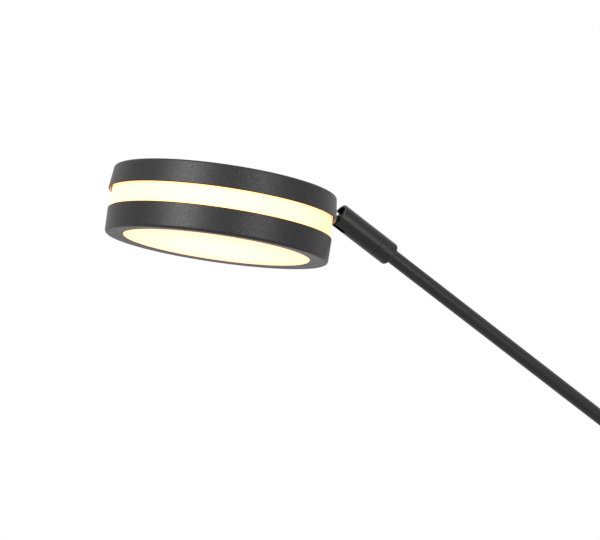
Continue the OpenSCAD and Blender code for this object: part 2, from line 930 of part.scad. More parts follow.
module head_washers() {
    color(white)
        at_knuckle()
            tilt_washers(head_tongue_r, head_pin_d);
}

module head_tongue() {
    color(coat)
        at_head()
            difference() {
                union() {
                    cross_plate(tongue_t) {
                        translate([head_reach, head_pivot_h])
                            circle(r = head_tongue_r);
                        translate([foot_end - foot_l, head_pivot_h - head_tongue_r])
                            square([head_reach - foot_end + foot_l, head_tongue_r + neck_up]);
                    }
                    translate([foot_end - foot_l, -foot_w/2, z_foot])
                        cube([foot_l, foot_w, foot_t]);
                }
                translate([head_reach, 0, head_pivot_h])
                    cross_bar(head_pin_d + 2*run_clear, -tongue_t, tongue_t);
                at_foot_screws()
                    hole(head_screw_d + 2*pass_clear, z_foot - cut, z_foot + foot_t + cut);
            }
}

module at_foot_screws() {
    for (side = [-1, 1])
        translate([foot_end - foot_l/2, side*foot_screw_y, 0])
            children();
}

module tongue_screws() {
    color(steel)
        at_head()
            at_foot_screws()
                translate([0, 0, z_foot + foot_t])
                    pan_screw(foot_t + seat_gap + tray_t);
}

// Half section of the flared cup with a tight top edge
function cap_r(z) = cap_rim_d/2 - (z - z_rim)*cap_tan;
cap_wall = cap_t/cos(cap_flare);
cap_outline = concat(
    [[cap_r(z_rim) - cap_wall, z_rim], [cap_r(z_rim), z_rim]],
    arc(cap_r(z_cap - cap_edge_r) - cap_edge_r/cos(cap_flare), z_cap - cap_edge_r, cap_edge_r, cap_flare, 90),
    [[0, z_cap], [0, z_cap - cap_t], [cap_r(z_cap - cap_t) - cap_wall - cap_edge_r/2, z_cap - cap_t]],
    [[cap_r(z_cap - cap_t - cap_edge_r/2) - cap_wall, z_cap - cap_t - cap_edge_r/2]]
);

module top_cap() {
    slot_h = 2*head_tongue_r + 2*move_gap;
    boss_end = z_tray_top + seat_gap;
    color(coat)
        at_head()
            difference() {
                union() {
                    turned(cap_outline);
                    around(head_screw_count, cap_screw_r, cap_screw_turn)
                        hole(2*cap_boss_r, boss_end, z_cap - cap_t/2);
                }
                translate([foot_end, -tongue_t/2 - move_gap, head_pivot_h - slot_h/2])
                    cube([cap_rim_d/2, tongue_t + 2*move_gap, slot_h]);
                around(head_screw_count, cap_screw_r, cap_screw_turn)
                    hole(head_screw_d + 2*fit_clear, boss_end - cut, boss_end + thread_l);
            }
}

module cap_screws() {
    color(steel)
        at_head()
            around(head_screw_count, cap_screw_r, cap_screw_turn)
                translate([0, 0, z_tray])
                    mirror([0, 0, 1])
                        pan_screw(tray_t + thread_l);
}

module heat_sink() {
    color(alloy)
        at_head()
            difference() {
                union() {
                    hole(band_d, z_tray, z_tray_top);
                    tube(2*drum_r, 2*drum_in, z_drum, z_tray + cut);
                    around(head_screw_count, ring_screw_r, ring_screw_turn)
                        hole(2*boss_r, z_boss, z_tray + cut);
                }
                around(head_screw_count, ring_screw_r, ring_screw_turn)
                    hole(head_screw_d + 2*fit_clear, z_boss - cut, z_boss + thread_l + seat_gap);
                around(head_screw_count, cap_screw_r, cap_screw_turn)
                    hole(head_screw_d + 2*pass_clear, z_tray - cut, z_tray_top + cut);
                at_foot_screws()
                    hole(head_screw_d + 2*fit_clear, z_tray - cut, z_tray_top + cut);
                translate([-cap_screw_r, 0, 0])
                    hole(lead_hole_d, z_tray - cut, z_tray_top + cut);
            }
}

module lower_board() {
    color(white)
        at_head()
            hole(2*board_r, z_board, z_board + board_t);
}

module lower_leds() {
    color(amber)
        at_head()
            for (c = led_circles)
                around(c[0], c[1]*board_r, 0)
                    translate([-led_l/2, -led_w/2, z_led])
                        cube([led_l, led_w, led_h]);
}

module side_strip() {
    color(white)
        at_head()
            tube(2*(strip_r + strip_t), 2*strip_r, z_strip, z_strip + strip_w);
}

module side_leds() {
    chord_sag = led_w*led_w/8/strip_r;
    color(amber)
        at_head()
            around(side_led_count, strip_r + strip_t + seat_gap, 0)
                translate([chord_sag, -led_w/2, z_strip + strip_w/2 - led_l/2])
                    cube([led_h, led_w, led_l]);
}

module reflector() {
    color(white)
        at_head()
            turned([
                [reflector_low_r, z_reflector],
                [diffuser_r, z_reflector],
                [diffuser_r, z_reflector + reflector_t],
                [reflector_low_r + reflector_t, z_reflector + reflector_t],
                [reflector_top_r + reflector_t, z_reflector_top],
                [reflector_top_r, z_reflector_top]
            ]);
}

module band_diffuser() {
    color(opal)
        at_head()
            tube(band_d, 2*band_in, z_band, z_band_top);
}

// Half section of the lower ring: drafted outside, band seat above, flange for the diffuser below
function ring_out(z) = ring_r - (ring_h - z)*tan(ring_draft);
function ring_centre(z, r) = ring_out(z) - r/cos(ring_draft);
ring_outline = concat(
    arc(opening_d/2 + lip_round, face_rise + lip_round, lip_round, 180, 270),
    arc(ring_centre(ring_low_r, ring_low_r), ring_low_r, ring_low_r, -90, -ring_draft),
    arc(ring_centre(ring_h - ring_top_r, ring_top_r), ring_h - ring_top_r, ring_top_r, -ring_draft, 90),
    [[lip_r, ring_h], [lip_r, z_shoulder], [band_in, z_shoulder], [band_in, z_shelf]],
    [[ring_in, z_shelf], [ring_in, ring_flange_t], [opening_d/2, ring_flange_t]]
);

module lower_ring() {
    color(coat)
        at_head()
            difference() {
                union() {
                    turned(ring_outline);
                    around(head_screw_count, 0, ring_screw_turn)
                        translate([lug_in, -lug_w/2, z_lug])
                            cube([ring_in + cut - lug_in, lug_w, z_lug_top - z_lug]);
                }
                around(head_screw_count, ring_screw_r, ring_screw_turn)
                    hole(head_screw_d + 2*pass_clear, z_shelf - cut, z_shoulder + cut);
            }
}

module ring_screws() {
    color(steel)
        at_head()
            around(head_screw_count, ring_screw_r, ring_screw_turn)
                translate([0, 0, z_lug])
                    mirror([0, 0, 1])
                        pan_screw(z_boss - z_lug + thread_l);
}

module bottom_diffuser() {
    color(opal)
        at_head()
            turned(concat(
                arc(0, z_bulge_edge - diffuser_bulge + bulge_r, bulge_r, -90, bulge_turn - 90),
                arc_on(bulge_in, z_bulge_edge + diffuser_edge_r, diffuser_edge_r, bulge_turn - 90, 0),
                [[step_r, z_diffuser], [diffuser_r, z_diffuser]],
                [[diffuser_r, z_diffuser_top], [0, z_diffuser_top]]
            ));
}

base_pad();
base_plate();
base_screws();
base_weight();
base_cover();
cord_gland();
gland_nut();
led_driver();
switch_bezel();
switch_nut();
switch_body();
switch_button();
pole_stud();
stud_nut();
stud_washer();
pole_plug();
pole_collar();
lower_pole();
pole_coupler();
upper_pole();
top_plug();
pole_swivel_stud();
pole_barrel();
pole_bush();
pole_spring_washer();
arm_pin();
arm_washers();
arm_tongue();
arm_rod();
knuckle_collar();
knuckle_stud();
knuckle_barrel();
knuckle_bush();
knuckle_spring_washer();
head_pin();
head_washers();
head_tongue();
tongue_screws();
top_cap();
cap_screws();
heat_sink();
lower_board();
lower_leds();
side_strip();
side_leds();
reflector();
band_diffuser();
lower_ring();
ring_screws();
bottom_diffuser();
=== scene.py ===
import json
import math

import bpy
from mathutils import Matrix, Vector


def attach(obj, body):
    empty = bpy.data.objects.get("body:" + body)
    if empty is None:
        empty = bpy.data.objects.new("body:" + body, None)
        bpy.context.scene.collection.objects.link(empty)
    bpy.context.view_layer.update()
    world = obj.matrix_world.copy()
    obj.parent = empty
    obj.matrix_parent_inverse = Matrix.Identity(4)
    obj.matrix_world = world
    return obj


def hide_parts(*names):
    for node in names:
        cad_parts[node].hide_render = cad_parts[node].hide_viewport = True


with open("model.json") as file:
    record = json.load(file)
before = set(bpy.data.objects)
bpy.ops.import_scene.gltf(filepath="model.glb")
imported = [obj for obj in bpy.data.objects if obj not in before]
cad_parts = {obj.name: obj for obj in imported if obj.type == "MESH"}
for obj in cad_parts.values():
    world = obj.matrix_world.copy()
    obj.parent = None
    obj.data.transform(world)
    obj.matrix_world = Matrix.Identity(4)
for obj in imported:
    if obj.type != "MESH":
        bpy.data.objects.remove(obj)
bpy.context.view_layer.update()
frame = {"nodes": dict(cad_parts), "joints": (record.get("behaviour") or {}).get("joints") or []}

MM = 0.001

# Pose of the lamp at rest
JOINTS = {joint["name"]: joint for joint in frame["joints"]}
HEAD_PIVOT = Vector(JOINTS["head_tilt"]["pos_m"])
POLE_PIVOT = Vector(JOINTS["arm_tilt"]["pos_m"])
ARM_ELEV = math.radians(32.8)
HEAD_TILT = math.radians(8.9)

# Light head, in millimetres, heights above its lower face
RING_R = 73.6
RING_H = 16.6
RING_DRAFT = math.radians(1)
RING_TOP_R = 0.9
RING_LOW_R = 2
RING_T = 2.4
RING_FLANGE_T = 2.1
RING_IN = RING_R - RING_T - RING_H * math.tan(RING_DRAFT)
OPENING_R = 61.3
LIP_ROUND = 0.4
BAND_R = 72.4
BAND_T = 2.4
BAND_LOW = 14.7
BAND_TOP = 30.5
BAND_EDGE_R = 0.3
CAP_RIM_R = 75
CAP_RIM_Z = 28.8
CAP_TOP_Z = 43.7
CAP_FLARE = math.radians(6.5)
CAP_T = 1.2
CAP_EDGE_R = 1.6
CAP_SKIN = 0.75 * CAP_T
DISC_FACE_Z = 0.5
FACE_RISE = 0.6
DISC_FLANGE_Z = 2.2
DISC_TOP_Z = 4
DISC_ROUND = 0.4
DISC_BULGE = 1.0
SHELF_T = 2
LIP_GAP = 0.15
HEAD_REACH = 91.4
HEAD_PIVOT_H = 36.7
TONGUE_T = 4
TONGUE_R = 3
TONGUE_NECK = 1.7
TONGUE_FOOT_X = 44.4
TONGUE_FOOT_L = 16
TONGUE_FOOT_W = 28
TONGUE_FOOT_T = 2.4
TONGUE_FOOT_Z = 33.2
TONGUE_EDGE = 0.25
TONGUE_SLOT_PAST = 5

# Knuckle and arm, in millimetres, places along the arm measured from the pivot on the pole
ARM_L = 480
ROD_R = 5
ROD_BORE_R = 4
COLLAR_R = 8.15
COLLAR_ROUND = 1.8
SOCKET_L = 9
FIT_CLEAR = 0.02
RUN_CLEAR = 0.05
SEAT_GAP = 0.1
MOVE_GAP = 0.3
SEAM_GAP = 0.15
SEAM_EDGE_R = 0.2
EDGE_R = 0.6
SLOT_W = 5.2
LEAD_R = 2
CUT_PAST = 2
PIN_COVER = 1.6
PIN_RECESS = 0.7
PIN_EDGE_R = 0.2
KEY_SHARE = 0.58
KNUCKLE_R = 8.15
KNUCKLE_L = 34.4
KNUCKLE_NOSE = 6.5
KNUCKLE_COLLAR_L = 13.3
KNUCKLE_FACE = ARM_L + KNUCKLE_NOSE - KNUCKLE_L - SEAM_GAP
KNUCKLE_END = KNUCKLE_FACE - KNUCKLE_COLLAR_L
KNUCKLE_BUSH_R = 5.7
KNUCKLE_CAVITY_L = 11.25
KNUCKLE_STUD_R = 4
HEAD_PIN_R = 1.5
NOSE_BORE_R = 6.6
NOSE_BORE_DEPTH = 3
NOTCH_W = 3.2
NOTCH_DEPTH = 2.8
NOTCH_OFFSET = 1.9
KNUCKLE_EDGE = 0.1
ARM_TONGUE_R = 3.6
ARM_TONGUE_L = 12
ARM_TONGUE_ROOT = 1
LOWER_COLLAR_L = 20
ARM_PIN_R = 2
ARM_FOOT_EDGE = 0.15
TUBE_END_R = 0.1

# Pole and base, in millimetres, heights above the floor
POLE_R = 9
POLE_BORE_R = 7.8
POLE_FOOT_Z = 22.1
POLE_SPLIT_Z = 542
POLE_TOP_Z = 1050.85
COUPLER_GRIP = 30
COUPLER_BORE_R = 4.5
COUPLER_RING_H = 3
COUPLER_EDGE_R = 0.3
POLE_JOINT_R = 9
POLE_JOINT_L = 36
POLE_JOINT_NOSE = 7
POLE_BUSH_R = 6.55
POLE_CAVITY_L = 12.25
POLE_JOINT_EDGE = 0.15
POLE_COLLAR_R = 17
POLE_COLLAR_H = 9
POLE_COLLAR_EDGE = 3
POLE_COLLAR_FOOT_R = 0.2
POLE_COLLAR_GAP = 0.2
BASE_R = 120
BASE_H = 22
BASE_EDGE_R = 5
COVER_T = 1.2
COVER_EDGE = 0.2
COVER_HOLE_GAP = 0.3
STUD_HOLE_R = 5.3
PAD_T = 2
PAD_R = 116
PAD_LOW_R = 0.5
PAD_TOP_R = 0.2
SWITCH_REACH = 76
BUTTON_R = 11
BUTTON_TOP_Z = 28.6
BUTTON_EDGE_R = 2.5
BUTTON_LOW_Z = 15.6
BUTTON_LIP_R = 12.5
BUTTON_LIP_H = 1.5
DISH_INSET = 3.5
DISH_EDGE = 0.6
DISH_EDGE_DEPTH = 0.25
DISH_HALF_DEPTH = 0.5
DISH_DEPTH = 0.55
SLEEVE_R = 14.05
SLEEVE_Z = 12.3
BEZEL_R = 17.05
BEZEL_Z = 23.6
BEZEL_ROUND = 0.8
BEZEL_MOUTH_R = 0.4
GLAND_Z = 11.628
GLAND_R = 4.5
GLAND_BORE_R = 3.3
GLAND_FLANGE_R = 6
GLAND_FLANGE_T = 2.5
GLAND_DEPTH = 11
GLAND_MOUTH_R = 0.6

# Steps of the turned pieces, sides of the cutters, and how near points merge, in metres
WIDE_STEPS = 224
COLLAR_STEPS = 120
TUBE_STEPS = 104
SLIM_STEPS = 96
PIN_STEPS = 64
ROUND_SIDES = 64
PIN_SIDES = 48
LEAD_SIDES = 32
SWITCH_SIDES = 96
KEY_SIDES = 6
MERGE_WITHIN = 2e-6
SAME_POINT = 1e-7
FLAT_ANGLE = math.radians(0.3)
SMOOTH_ANGLE = math.radians(34)
SHARP_ANGLE = math.radians(40)

head_place = (
    Matrix.Translation(HEAD_PIVOT)
    @ Matrix.Rotation(HEAD_TILT, 4, "Y")
    @ Matrix.Translation(Vector((-HEAD_REACH, 0, -HEAD_PIVOT_H)) * MM)
)
arm_place = Matrix.Translation(POLE_PIVOT) @ Matrix.Rotation(ARM_ELEV - math.pi / 2, 4, "Y")
knuckle_place = arm_place @ Matrix.Translation((0, 0, ARM_L * MM))

# Camera of the photograph, in pixels, and its distance in metres from the middle of the head's lower face
PHOTO_W = 600
PHOTO_H = 540
FOCAL_PX = 2000
SENSOR_MM = 36
VIEW_TURN = math.radians(27.39)
VIEW_UP = math.radians(3.15)
HEAD_DISTANCE = 1.302
HEAD_PIXEL = (216.3, 248.8)

looking = Vector((
    math.sin(VIEW_TURN) * math.cos(VIEW_UP),
    math.cos(VIEW_TURN) * math.cos(VIEW_UP),
    math.sin(VIEW_UP),
))
rightward = Vector((math.cos(VIEW_TURN), -math.sin(VIEW_TURN), 0))
upward = rightward.cross(looking)
head_foot = head_place @ Vector((0, 0, 0))
across = (HEAD_PIXEL[0] - PHOTO_W / 2) / FOCAL_PX * HEAD_DISTANCE
below = (HEAD_PIXEL[1] - PHOTO_H / 2) / FOCAL_PX * HEAD_DISTANCE
eye = head_foot - rightward * across + upward * below - looking * HEAD_DISTANCE

bpy.ops.object.select_all(action="DESELECT")
bpy.ops.object.camera_add(location=eye)
camera = bpy.context.object
camera.name = "photo_camera"
facing = Matrix((rightward, upward, -looking)).transposed()
camera.rotation_euler = facing.to_euler()
camera.data.sensor_width = SENSOR_MM
camera.data.lens = FOCAL_PX / PHOTO_W * SENSOR_MM
camera.data.clip_start = 0.05
camera.data.clip_end = 50
bpy.context.scene.camera = camera


def select_only(piece):
    bpy.ops.object.select_all(action="DESELECT")
    piece.select_set(True)
    bpy.context.view_layer.objects.active = piece


def arc(r, z, radius, start, end, steps=7):
    """Points of a round stretch of an outline, angles in degrees."""
    angles = [math.radians(start + (end - start) * i / steps) for i in range(steps + 1)]
    return [(r + radius * math.cos(a), z + radius * math.sin(a)) for a in angles]


def rounded_bar(inner, outer, low, high, low_round, high_round):
    """Half outline of a bar or ring with two rounded outer edges."""
    return (
        [(inner, low)]
        + arc(outer - low_round, low + low_round, low_round, -90, 0)
        + arc(outer - high_round, high - high_round, high_round, 0, 90)
        + [(inner, high)]
    )


def spun(name, outline, steps):
    """A turned piece from its half outline of (radius, height) points in millimetres."""
    closed = outline[0][0] > 0
    bpy.ops.object.select_all(action="DESELECT")
    bpy.ops.mesh.primitive_plane_add(size=MM)
    piece = bpy.context.object
    piece.name = name
    bpy.ops.object.mode_set(mode="EDIT")
    bpy.ops.mesh.select_all(action="SELECT")
    bpy.ops.mesh.merge(type="CENTER")
    reached = Vector((outline[0][0], 0, outline[0][1])) * MM
    bpy.ops.transform.translate(value=reached)
    for r, z in outline[1:] + (outline[:1] if closed else []):
        point = Vector((r, 0, z)) * MM
        if (point - reached).length > SAME_POINT:
            bpy.ops.mesh.extrude_vertices_move(TRANSFORM_OT_translate={"value": point - reached})
            reached = point
    bpy.ops.mesh.select_all(action="SELECT")
    bpy.ops.mesh.spin(steps=steps, angle=2 * math.pi, center=(0, 0, 0), axis=(0, 0, 1))
    bpy.ops.mesh.select_all(action="SELECT")
    bpy.ops.mesh.remove_doubles(threshold=MERGE_WITHIN)
    bpy.ops.mesh.normals_make_consistent(inside=False)
    bpy.ops.object.mode_set(mode="OBJECT")
    return piece


def block(name, low, high):
    """A box between two corners in millimetres."""
    low = Vector(low) * MM
    high = Vector(high) * MM
    bpy.ops.object.select_all(action="DESELECT")
    bpy.ops.mesh.primitive_cube_add(size=1, location=(low + high) / 2)
    piece = bpy.context.object
    piece.name = name
    piece.scale = high - low
    bpy.ops.object.transform_apply(location=True, rotation=True, scale=True)
    return piece


def rod(name, radius, length, middle, turn, sides=ROUND_SIDES):
    """A bar of a round section, in millimetres, turned by Euler angles in degrees."""
    bpy.ops.object.select_all(action="DESELECT")
    bpy.ops.mesh.primitive_cylinder_add(
        vertices=sides,
        radius=radius * MM,
        depth=length * MM,
        location=Vector(middle) * MM,
        rotation=[math.radians(a) for a in turn],
    )
    piece = bpy.context.object
    piece.name = name
    bpy.ops.object.transform_apply(location=True, rotation=True, scale=True)
    return piece


def carve(piece, cutter, operation="DIFFERENCE"):
    """Cuts the cutter away from the piece, or joins it on, and removes the cutter."""
    select_only(piece)
    modifier = piece.modifiers.new("carve", "BOOLEAN")
    modifier.operation = operation
    modifier.solver = "EXACT"
    modifier.object = cutter
    bpy.ops.object.modifier_apply(modifier=modifier.name)
    bpy.data.objects.remove(cutter)


def soften(piece, width):
    """Rounds the sharp edges of a piece by a width in millimetres, or less where edges are short."""
    select_only(piece)
    modifier = piece.modifiers.new("soften", "BEVEL")
    modifier.width = width * MM
    modifier.segments = 2
    modifier.limit_method = "ANGLE"
    modifier.angle_limit = SHARP_ANGLE
    modifier.use_clamp_overlap = True
    modifier.harden_normals = False
    bpy.ops.object.modifier_apply(modifier=modifier.name)


def tidy(piece):
    """Merges what a cut left double and dissolves flat faces into one."""
    select_only(piece)
    bpy.ops.object.mode_set(mode="EDIT")
    bpy.ops.mesh.select_all(action="SELECT")
    bpy.ops.mesh.remove_doubles(threshold=MERGE_WITHIN)
    bpy.ops.mesh.dissolve_limited(angle_limit=FLAT_ANGLE)
    bpy.ops.object.mode_set(mode="OBJECT")


def fit(piece, nodes, body, slot, place=None, finish=None):
    """Puts a finished piece in its place, on its body, over its nodes and with its finish."""
    if place is not None:
        piece.matrix_world = place
    select_only(piece)
    bpy.ops.object.transform_apply(location=True, rotation=True, scale=True)
    bpy.ops.object.shade_smooth_by_angle(angle=SMOOTH_ANGLE)
    modifier = piece.modifiers.new("even_faces", "WEIGHTED_NORMAL")
    modifier.keep_sharp = True
    bpy.ops.object.modifier_apply(modifier=modifier.name)
    piece.data.materials.clear()
    piece.data.materials.append(FINISHES[finish or slot])
    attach(piece, body)
    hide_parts(*nodes)
    return piece


def new_finish(name):
    finish = bpy.data.materials.new(name)
    finish.use_nodes = True
    tree = finish.node_tree
    shader = tree.nodes["Principled BSDF"]
    coords = tree.nodes.new("ShaderNodeTexCoord")
    return finish, tree, shader, coords.outputs["Object"]


def noise(tree, vector, scale, detail, rough):
    node = tree.nodes.new("ShaderNodeTexNoise")
    node.inputs["Scale"].default_value = scale
    node.inputs["Detail"].default_value = detail
    node.inputs["Roughness"].default_value = rough
    tree.links.new(vector, node.inputs["Vector"])
    return node.outputs["Fac"]


def ramp(tree, value, stops):
    """Colours along a value, as (position, (r, g, b)) stops."""
    node = tree.nodes.new("ShaderNodeValToRGB")
    node.color_ramp.elements[0].position = stops[0][0]
    node.color_ramp.elements[0].color = (*stops[0][1], 1)
    node.color_ramp.elements[1].position = stops[-1][0]
    node.color_ramp.elements[1].color = (*stops[-1][1], 1)
    for position, colour in stops[1:-1]:
        node.color_ramp.elements.new(position).color = (*colour, 1)
    tree.links.new(value, node.inputs["Fac"])
    return node.outputs["Color"]


def between(tree, value, low, high, out_low, out_high):
    node = tree.nodes.new("ShaderNodeMapRange")
    node.inputs["From Min"].default_value = low
    node.inputs["From Max"].default_value = high
    node.inputs["To Min"].default_value = out_low
    node.inputs["To Max"].default_value = out_high
    tree.links.new(value, node.inputs["Value"])
    return node.outputs["Result"]


def multiplied(tree, first, second):
    """Product of two colours."""
    node = tree.nodes.new("ShaderNodeMix")
    node.data_type = "RGBA"
    node.blend_type = "MULTIPLY"
    node.inputs["Factor"].default_value = 1
    tree.links.new(first, node.inputs["A"])
    tree.links.new(second, node.inputs["B"])
    return node.outputs["Result"]


def bumped(tree, shader, height, strength, distance):
    node = tree.nodes.new("ShaderNodeBump")
    node.inputs["Strength"].default_value = strength
    node.inputs["Distance"].default_value = distance
    tree.links.new(height, node.inputs["Height"])
    tree.links.new(node.outputs["Normal"], shader.inputs["Normal"])


def sand_coat(name, speck, depth, rough):
    """Matt black powder coat with a sandy grain, pale specks and a sheen broken by the grain."""
    finish, tree, shader, place = new_finish(name)
    grain = noise(tree, place, scale=1150, detail=3, rough=0.6)
    cloud = noise(tree, place, scale=60, detail=3, rough=0.55)
    tone = ramp(tree, grain, [(0.36, (0.0025, 0.0023, 0.0023)), (0.53, (0.005, 0.0047, 0.0048)),
                              (0.7, (speck, speck * 0.97, speck * 0.98))])
    patch = ramp(tree, cloud, [(0.3, (0.86, 0.86, 0.87)), (0.7, (1.0, 1.0, 1.0))])
    tree.links.new(multiplied(tree, tone, patch), shader.inputs["Base Color"])
    tree.links.new(between(tree, grain, 0.3, 0.7, rough + 0.05, rough - 0.06), shader.inputs["Roughness"])
    shader.inputs["IOR"].default_value = 1.4
    bumped(tree, shader, grain, strength=depth, distance=0.00016)
    return finish


def head_coords(tree, place):
    """Coordinates of the head in metres, standing on its lower face."""
    node = tree.nodes.new("ShaderNodeMapping")
    back = head_place.inverted()
    node.inputs["Location"].default_value = back.translation
    node.inputs["Rotation"].default_value = back.to_euler()
    tree.links.new(place, node.inputs["Vector"])
    return node.outputs["Vector"]


def along(tree, vector, direction, low, high):
    """How far a place lies along a direction, as 0 to 1 between two distances in millimetres."""
    node = tree.nodes.new("ShaderNodeVectorMath")
    node.operation = "DOT_PRODUCT"
    node.inputs[1].default_value = direction
    tree.links.new(vector, node.inputs[0])
    return between(tree, node.outputs["Value"], low * MM, high * MM, 0, 1)


def from_axis(tree, vector, low, high):
    """Distance from the upright axis, as 0 to 1 between two distances in millimetres."""
    flat = tree.nodes.new("ShaderNodeVectorMath")
    flat.operation = "MULTIPLY"
    flat.inputs[1].default_value = (1, 1, 0)
    tree.links.new(vector, flat.inputs[0])
    reach = tree.nodes.new("ShaderNodeVectorMath")
    reach.operation = "LENGTH"
    tree.links.new(flat.outputs["Vector"], reach.inputs[0])
    return between(tree, reach.outputs["Value"], low * MM, high * MM, 0, 1)


def opal(name, glow_of, strength):
    """Satin opal acrylic that is lit from within."""
    finish, tree, shader, place = new_finish(name)
    tree.links.new(glow_of(tree, head_coords(tree, place)), shader.inputs["Emission Color"])
    shader.inputs["Emission Strength"].default_value = strength
    haze = noise(tree, place, scale=900, detail=2, rough=0.5)
    tree.links.new(ramp(tree, haze, [(0.3, (0.12, 0.10, 0.07)), (0.7, (0.15, 0.13, 0.09))]),
                   shader.inputs["Base Color"])
    tree.links.new(between(tree, haze, 0.3, 0.7, 0.55, 0.66), shader.inputs["Roughness"])
    shader.inputs["IOR"].default_value = 1.3
    return finish


def band_light_with_painted_shade(tree, local):
    """Warm light of the ring, with painted shade in it: weaker at its two edges, where it meets the cap and
    the ring, and weaker towards both sides across the head, most towards the tongue.
    """
    # Painted shade: the light is dimmed at the band's top and bottom edges, next to the cap and the ring.
    height = along(tree, local, (0, 0, 1), RING_H, CAP_RIM_Z)
    edge = ramp(tree, height, [(0.0, (0.8, 0.74, 0.66)), (0.1, (1, 1, 1)),
                               (0.9, (1, 1, 1)), (1.0, (0.8, 0.74, 0.66))])
    # Painted shade: the light is dimmed towards both sides across the head, most towards the tongue.
    side = along(tree, local, (1, 0, 0), -BAND_R, BAND_R)
    glow = ramp(tree, side, [(0.0, (0.62, 0.27, 0.117)), (0.26, (0.74, 0.33, 0.128)),
                             (0.66, (0.62, 0.27, 0.117)), (1.0, (0.28, 0.12, 0.068))])
    return multiplied(tree, glow, edge)


def disc_glow(tree, local):
    """Warm light of the disc, strongest in the middle and weaker towards the rim."""
    out = from_axis(tree, local, 0, OPENING_R)
    return ramp(tree, out, [(0.0, (0.6, 0.27, 0.111)), (0.5, (0.54, 0.235, 0.104)),
                            (1.0, (0.31, 0.135, 0.078))])


def moulded(name, dark, light, rough, grain_scale):
    """Even surface with a fine grain, such as plastic, rubber, paint or a raw casting."""
    finish, tree, shader, place = new_finish(name)
    grain = noise(tree, place, scale=grain_scale, detail=2, rough=0.5)
    tree.links.new(ramp(tree, grain, [(0.3, dark), (0.7, light)]), shader.inputs["Base Color"])
    tree.links.new(between(tree, grain, 0.3, 0.7, rough + 0.06, rough - 0.06), shader.inputs["Roughness"])
    bumped(tree, shader, grain, strength=0.25, distance=0.00005)
    return finish


def metal(name, dark, light, rough, grain_scale, stretch):
    """Bare metal with the marks of its making, drawn out where the stretch of an axis is below 1."""
    finish, tree, shader, place = new_finish(name)
    drawn = tree.nodes.new("ShaderNodeMapping")
    drawn.inputs["Scale"].default_value = stretch
    tree.links.new(place, drawn.inputs["Vector"])
    marks = noise(tree, drawn.outputs["Vector"], scale=grain_scale, detail=3, rough=0.6)
    tree.links.new(ramp(tree, marks, [(0.3, dark), (0.7, light)]), shader.inputs["Base Color"])
    tree.links.new(between(tree, marks, 0.3, 0.7, rough + 0.08, rough - 0.08), shader.inputs["Roughness"])
    shader.inputs["Metallic"].default_value = 1
    bumped(tree, shader, marks, strength=0.2, distance=0.00003)
    return finish


def lit_source():
    """Yellow phosphor of the light sources."""
    finish, tree, shader, place = new_finish("phosphor")
    grain = noise(tree, place, scale=2500, detail=2, rough=0.5)
    tree.links.new(ramp(tree, grain, [(0.3, (0.75, 0.5, 0.08)), (0.7, (0.9, 0.66, 0.14))]),
                   shader.inputs["Base Color"])
    tree.links.new(ramp(tree, grain, [(0.3, (1.0, 0.7, 0.3)), (0.7, (1.0, 0.8, 0.42))]),
                   shader.inputs["Emission Color"])
    shader.inputs["Emission Strength"].default_value = 2
    tree.links.new(between(tree, grain, 0.3, 0.7, 0.5, 0.36), shader.inputs["Roughness"])
    return finish


FINISHES = {
    "powder_coat": sand_coat("powder_coat", speck=0.03, depth=0.5, rough=0.45),
    "fine_coat": sand_coat("fine_coat", speck=0.012, depth=0.03, rough=0.37),
    "opal_band": opal("opal_band", band_light_with_painted_shade, strength=6),
    "opal_disc": opal("opal_disc", disc_glow, strength=7.2),
    "cast_weight": moulded("cast_weight", (0.03, 0.03, 0.032), (0.07, 0.07, 0.072),
                           rough=0.7, grain_scale=400),
    "zinc_steel": metal("zinc_steel", (0.50, 0.51, 0.53), (0.62, 0.63, 0.64),
                        rough=0.34, grain_scale=900, stretch=(1, 1, 0.2)),
    "brass_bush": metal("brass_bush", (0.52, 0.36, 0.13), (0.64, 0.46, 0.19),
                        rough=0.32, grain_scale=900, stretch=(0.2, 1, 1)),
    "black_plastic": moulded("black_plastic", (0.010, 0.010, 0.0105), (0.018, 0.018, 0.0185),
                             rough=0.46, grain_scale=1800),
    "white_plastic": moulded("white_plastic", (0.74, 0.74, 0.71), (0.80, 0.80, 0.77),
                             rough=0.42, grain_scale=1200),
    "bare_alloy": metal("bare_alloy", (0.60, 0.61, 0.63), (0.72, 0.73, 0.74),
                        rough=0.42, grain_scale=700, stretch=(1, 1, 1)),
    "board_white": moulded("board_white", (0.78, 0.78, 0.76), (0.84, 0.84, 0.82),
                           rough=0.36, grain_scale=700),
    "phosphor": lit_source(),
    "cap_inside": moulded("cap_inside", (0.17, 0.165, 0.15), (0.23, 0.22, 0.205),
                          rough=0.5, grain_scale=900),
    "soft_pad": moulded("soft_pad", (0.012, 0.012, 0.012), (0.024, 0.024, 0.024),
                        rough=0.85, grain_scale=1600),
}

# Nodes that keep their own shape take the finish of their slot
NODE_FINISH = {
    "zinc_steel": ["base_plate", "base_screws", "pole_stud", "stud_nut", "stud_washer",
                   "pole_swivel_stud", "pole_spring_washer", "knuckle_stud", "knuckle_spring_washer",
                   "tongue_screws", "cap_screws", "ring_screws"],
    "cast_weight": ["base_weight"],
    "black_plastic": ["gland_nut", "led_driver", "switch_nut"],
    "white_plastic": ["switch_body", "arm_washers", "head_washers", "reflector"],
    "brass_bush": ["pole_plug", "top_plug", "pole_bush", "knuckle_bush"],
    "bare_alloy": ["heat_sink"],
    "board_white": ["lower_board", "side_strip"],
    "phosphor": ["lower_leds", "side_leds"],
}
for slot, nodes in NODE_FINISH.items():
    for node in nodes:
        frame["nodes"][node].data.materials.clear()
        frame["nodes"][node].data.materials.append(FINISHES[slot])


def cap_r(z):
    return CAP_RIM_R - (z - CAP_RIM_Z) * math.tan(CAP_FLARE)


